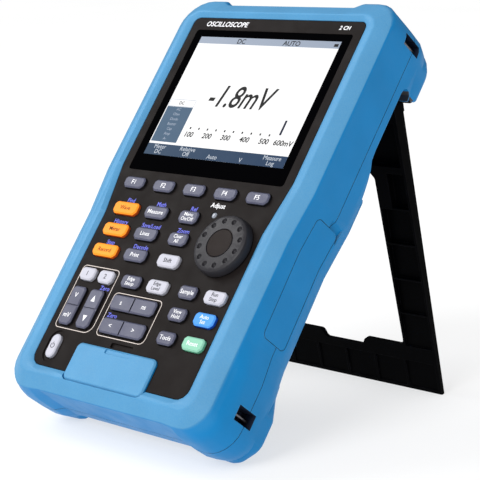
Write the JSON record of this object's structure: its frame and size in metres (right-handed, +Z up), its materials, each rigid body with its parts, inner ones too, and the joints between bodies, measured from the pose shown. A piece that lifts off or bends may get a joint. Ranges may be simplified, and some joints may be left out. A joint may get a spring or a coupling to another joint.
{
  "type": "handheld oscilloscope",
  "caption": "Handheld oscilloscope with a rubber-edged case, a flat screen above a keypad with a round adjust knob, leaning on an open folding rear stand.",
  "frame": {"origin": "centre of the bounding box in plan, on the surface the instrument stands on", "axes": "+X to the right seen from the front, -Y the way the leaning front panel faces, +Z up"},
  "size_m": [0.1626, 0.2134, 0.2338],
  "materials": {
    "battery_wrap": "matt",
    "board_green": "matt",
    "key_blue": "satin",
    "key_green": "satin",
    "key_grey": "satin",
    "key_orange": "satin",
    "key_white": "satin",
    "nickel_brass": "polished",
    "overmould_blue": "satin",
    "panel_black": "satin",
    "silicone_grey": "matt",
    "stand_black": "satin",
    "steel": "satin",
    "window_glass": "gloss"
  },
  "bodies": {
    "instrument": {"adjust_lamp": "key_white", "battery_cover": "stand_black", "battery_pack": "battery_wrap", "bnc_input_1": "nickel_brass", "bnc_input_2": "nickel_brass", "display_module": "steel", "display_window": "window_glass", "front_housing": "overmould_blue", "keypad_mat": "silicone_grey", "keypad_panel": "panel_black", "knob_encoder": "steel", "main_board": "board_green", "meter_jack_common": "panel_black", "meter_jack_current": "panel_black", "meter_jack_volts": "panel_black", "power_inlet": "stand_black", "rear_housing": "overmould_blue", "stand_pin_left": "steel", "stand_pin_right": "steel", "strap_bar_lower_left": "steel", "strap_bar_lower_right": "steel", "strap_bar_upper_left": "steel", "strap_bar_upper_right": "steel", "usb_port": "steel"},
    "soft_key_1_body": {"soft_key_1": "key_grey"},
    "soft_key_2_body": {"soft_key_2": "key_grey"},
    "soft_key_3_body": {"soft_key_3": "key_grey"},
    "soft_key_4_body": {"soft_key_4": "key_grey"},
    "soft_key_5_body": {"soft_key_5": "key_grey"},
    "scope_mode_key_body": {"scope_mode_key": "key_orange"},
    "meter_mode_key_body": {"meter_mode_key": "key_orange"},
    "recorder_mode_key_body": {"recorder_mode_key": "key_orange"},
    "measure_key_body": {"measure_key": "key_grey"},
    "cursors_key_body": {"cursors_key": "key_grey"},
    "print_key_body": {"print_key": "key_grey"},
    "menu_key_body": {"menu_key": "key_grey"},
    "clear_key_body": {"clear_key": "key_grey"},
    "shift_key_body": {"shift_key": "key_white"},
    "channel_1_key_body": {"channel_1_key": "key_white"},
    "channel_2_key_body": {"channel_2_key": "key_white"},
    "trigger_setup_key_body": {"trigger_setup_key": "key_grey"},
    "trigger_level_key_body": {"trigger_level_key": "key_white"},
    "acquire_key_body": {"acquire_key": "key_grey"},
    "run_stop_key_body": {"run_stop_key": "key_white"},
    "display_key_body": {"display_key": "key_grey"},
    "auto_key_body": {"auto_key": "key_blue"},
    "utility_key_body": {"utility_key": "key_grey"},
    "default_key_body": {"default_key": "key_green"},
    "power_button_body": {"power_button": "key_white"},
    "volts_rocker_body": {"volts_rocker": "key_grey"},
    "position_rocker_body": {"position_rocker": "key_grey"},
    "timebase_rocker_body": {"timebase_rocker": "key_grey"},
    "horizontal_rocker_body": {"horizontal_rocker": "key_grey"},
    "adjust_knob_body": {"adjust_knob": "panel_black"},
    "jack_flap_body": {"jack_flap": "overmould_blue"},
    "port_door_body": {"port_door": "overmould_blue"},
    "stand_body": {"kickstand": "stand_black"}
  },
  "joints": [
    {"name": "soft_key_1_press", "type": "slide", "parent": "instrument", "child": "soft_key_1_body", "axis": [0, 0.791, -0.6118], "range_m": [0, 0.0008], "stiffness_N_per_m": 800},
    {"name": "soft_key_2_press", "type": "slide", "parent": "instrument", "child": "soft_key_2_body", "axis": [0, 0.791, -0.6118], "range_m": [0, 0.0008], "stiffness_N_per_m": 800},
    {"name": "soft_key_3_press", "type": "slide", "parent": "instrument", "child": "soft_key_3_body", "axis": [0, 0.791, -0.6118], "range_m": [0, 0.0008], "stiffness_N_per_m": 800},
    {"name": "soft_key_4_press", "type": "slide", "parent": "instrument", "child": "soft_key_4_body", "axis": [0, 0.791, -0.6118], "range_m": [0, 0.0008], "stiffness_N_per_m": 800},
    {"name": "soft_key_5_press", "type": "slide", "parent": "instrument", "child": "soft_key_5_body", "axis": [0, 0.791, -0.6118], "range_m": [0, 0.0008], "stiffness_N_per_m": 800},
    {"name": "scope_mode_key_press", "type": "slide", "parent": "instrument", "child": "scope_mode_key_body", "axis": [0, 0.791, -0.6118], "range_m": [0, 0.0008], "stiffness_N_per_m": 800},
    {"name": "meter_mode_key_press", "type": "slide", "parent": "instrument", "child": "meter_mode_key_body", "axis": [0, 0.791, -0.6118], "range_m": [0, 0.0008], "stiffness_N_per_m": 800},
    {"name": "recorder_mode_key_press", "type": "slide", "parent": "instrument", "child": "recorder_mode_key_body", "axis": [0, 0.791, -0.6118], "range_m": [0, 0.0008], "stiffness_N_per_m": 800},
    {"name": "measure_key_press", "type": "slide", "parent": "instrument", "child": "measure_key_body", "axis": [0, 0.791, -0.6118], "range_m": [0, 0.0008], "stiffness_N_per_m": 800},
    {"name": "cursors_key_press", "type": "slide", "parent": "instrument", "child": "cursors_key_body", "axis": [0, 0.791, -0.6118], "range_m": [0, 0.0008], "stiffness_N_per_m": 800},
    {"name": "print_key_press", "type": "slide", "parent": "instrument", "child": "print_key_body", "axis": [0, 0.791, -0.6118], "range_m": [0, 0.0008], "stiffness_N_per_m": 800},
    {"name": "menu_key_press", "type": "slide", "parent": "instrument", "child": "menu_key_body", "axis": [0, 0.791, -0.6118], "range_m": [0, 0.0008], "stiffness_N_per_m": 800},
    {"name": "clear_key_press", "type": "slide", "parent": "instrument", "child": "clear_key_body", "axis": [0, 0.791, -0.6118], "range_m": [0, 0.0008], "stiffness_N_per_m": 800},
    {"name": "shift_key_press", "type": "slide", "parent": "instrument", "child": "shift_key_body", "axis": [0, 0.791, -0.6118], "range_m": [0, 0.0008], "stiffness_N_per_m": 800},
    {"name": "channel_1_key_press", "type": "slide", "parent": "instrument", "child": "channel_1_key_body", "axis": [0, 0.791, -0.6118], "range_m": [0, 0.0008], "stiffness_N_per_m": 800},
    {"name": "channel_2_key_press", "type": "slide", "parent": "instrument", "child": "channel_2_key_body", "axis": [0, 0.791, -0.6118], "range_m": [0, 0.0008], "stiffness_N_per_m": 800},
    {"name": "trigger_setup_key_press", "type": "slide", "parent": "instrument", "child": "trigger_setup_key_body", "axis": [0, 0.791, -0.6118], "range_m": [0, 0.0008], "stiffness_N_per_m": 800},
    {"name": "trigger_level_key_press", "type": "slide", "parent": "instrument", "child": "trigger_level_key_body", "axis": [0, 0.791, -0.6118], "range_m": [0, 0.0008], "stiffness_N_per_m": 800},
    {"name": "acquire_key_press", "type": "slide", "parent": "instrument", "child": "acquire_key_body", "axis": [0, 0.791, -0.6118], "range_m": [0, 0.0008], "stiffness_N_per_m": 800},
    {"name": "run_stop_key_press", "type": "slide", "parent": "instrument", "child": "run_stop_key_body", "axis": [0, 0.791, -0.6118], "range_m": [0, 0.0008], "stiffness_N_per_m": 800},
    {"name": "display_key_press", "type": "slide", "parent": "instrument", "child": "display_key_body", "axis": [0, 0.791, -0.6118], "range_m": [0, 0.0008], "stiffness_N_per_m": 800},
    {"name": "auto_key_press", "type": "slide", "parent": "instrument", "child": "auto_key_body", "axis": [0, 0.791, -0.6118], "range_m": [0, 0.0008], "stiffness_N_per_m": 800},
    {"name": "utility_key_press", "type": "slide", "parent": "instrument", "child": "utility_key_body", "axis": [0, 0.791, -0.6118], "range_m": [0, 0.0008], "stiffness_N_per_m": 800},
    {"name": "default_key_press", "type": "slide", "parent": "instrument", "child": "default_key_body", "axis": [0, 0.791, -0.6118], "range_m": [0, 0.0008], "stiffness_N_per_m": 800},
    {"name": "power_button_press", "type": "slide", "parent": "instrument", "child": "power_button_body", "axis": [0, 0.791, -0.6118], "range_m": [0, 0.0007], "stiffness_N_per_m": 800},
    {"name": "volts_rocker_rock", "type": "hinge", "parent": "instrument", "child": "volts_rocker_body", "pos_m": [-0.0496, -0.07712, 0.06908], "axis": [1, 0, 0], "range_deg": [-3, 3], "stiffness_Nm_per_rad": 0.3},
    {"name": "position_rocker_rock", "type": "hinge", "parent": "instrument", "child": "position_rocker_body", "pos_m": [-0.0348, -0.07712, 0.06908], "axis": [1, 0, 0], "range_deg": [-3, 3], "stiffness_Nm_per_rad": 0.3},
    {"name": "timebase_rocker_rock", "type": "hinge", "parent": "instrument", "child": "timebase_rocker_body", "pos_m": [-0.0036, -0.07283, 0.07462], "axis": [0, 0.6118, 0.791], "range_deg": [-3, 3], "stiffness_Nm_per_rad": 0.3},
    {"name": "horizontal_rocker_rock", "type": "hinge", "parent": "instrument", "child": "horizontal_rocker_body", "pos_m": [-0.0036, -0.08152, 0.06338], "axis": [0, 0.6118, 0.791], "range_deg": [-3, 3], "stiffness_Nm_per_rad": 0.3},
    {"name": "adjust_knob_turn", "type": "hinge", "parent": "instrument", "child": "adjust_knob_body", "pos_m": [0.0412, -0.04796, 0.10923], "axis": [0, -0.791, 0.6118], "continuous": true},
    {"name": "jack_flap_hinge", "type": "hinge", "parent": "instrument", "child": "jack_flap_body", "pos_m": [0.0008, -0.10505, 0.03721], "axis": [1, 0, 0], "range_deg": [0, 105]},
    {"name": "port_door_hinge", "type": "hinge", "parent": "instrument", "child": "port_door_body", "pos_m": [0.0808, -0.0383, 0.09721], "axis": [0, -0.6118, -0.791], "range_deg": [0, 110]},
    {"name": "kickstand_hinge", "type": "hinge", "parent": "instrument", "child": "stand_body", "pos_m": [0, 0.06802, 0.18286], "axis": [1, 0, 0], "range_deg": [-50.5, 0]}
  ]
}
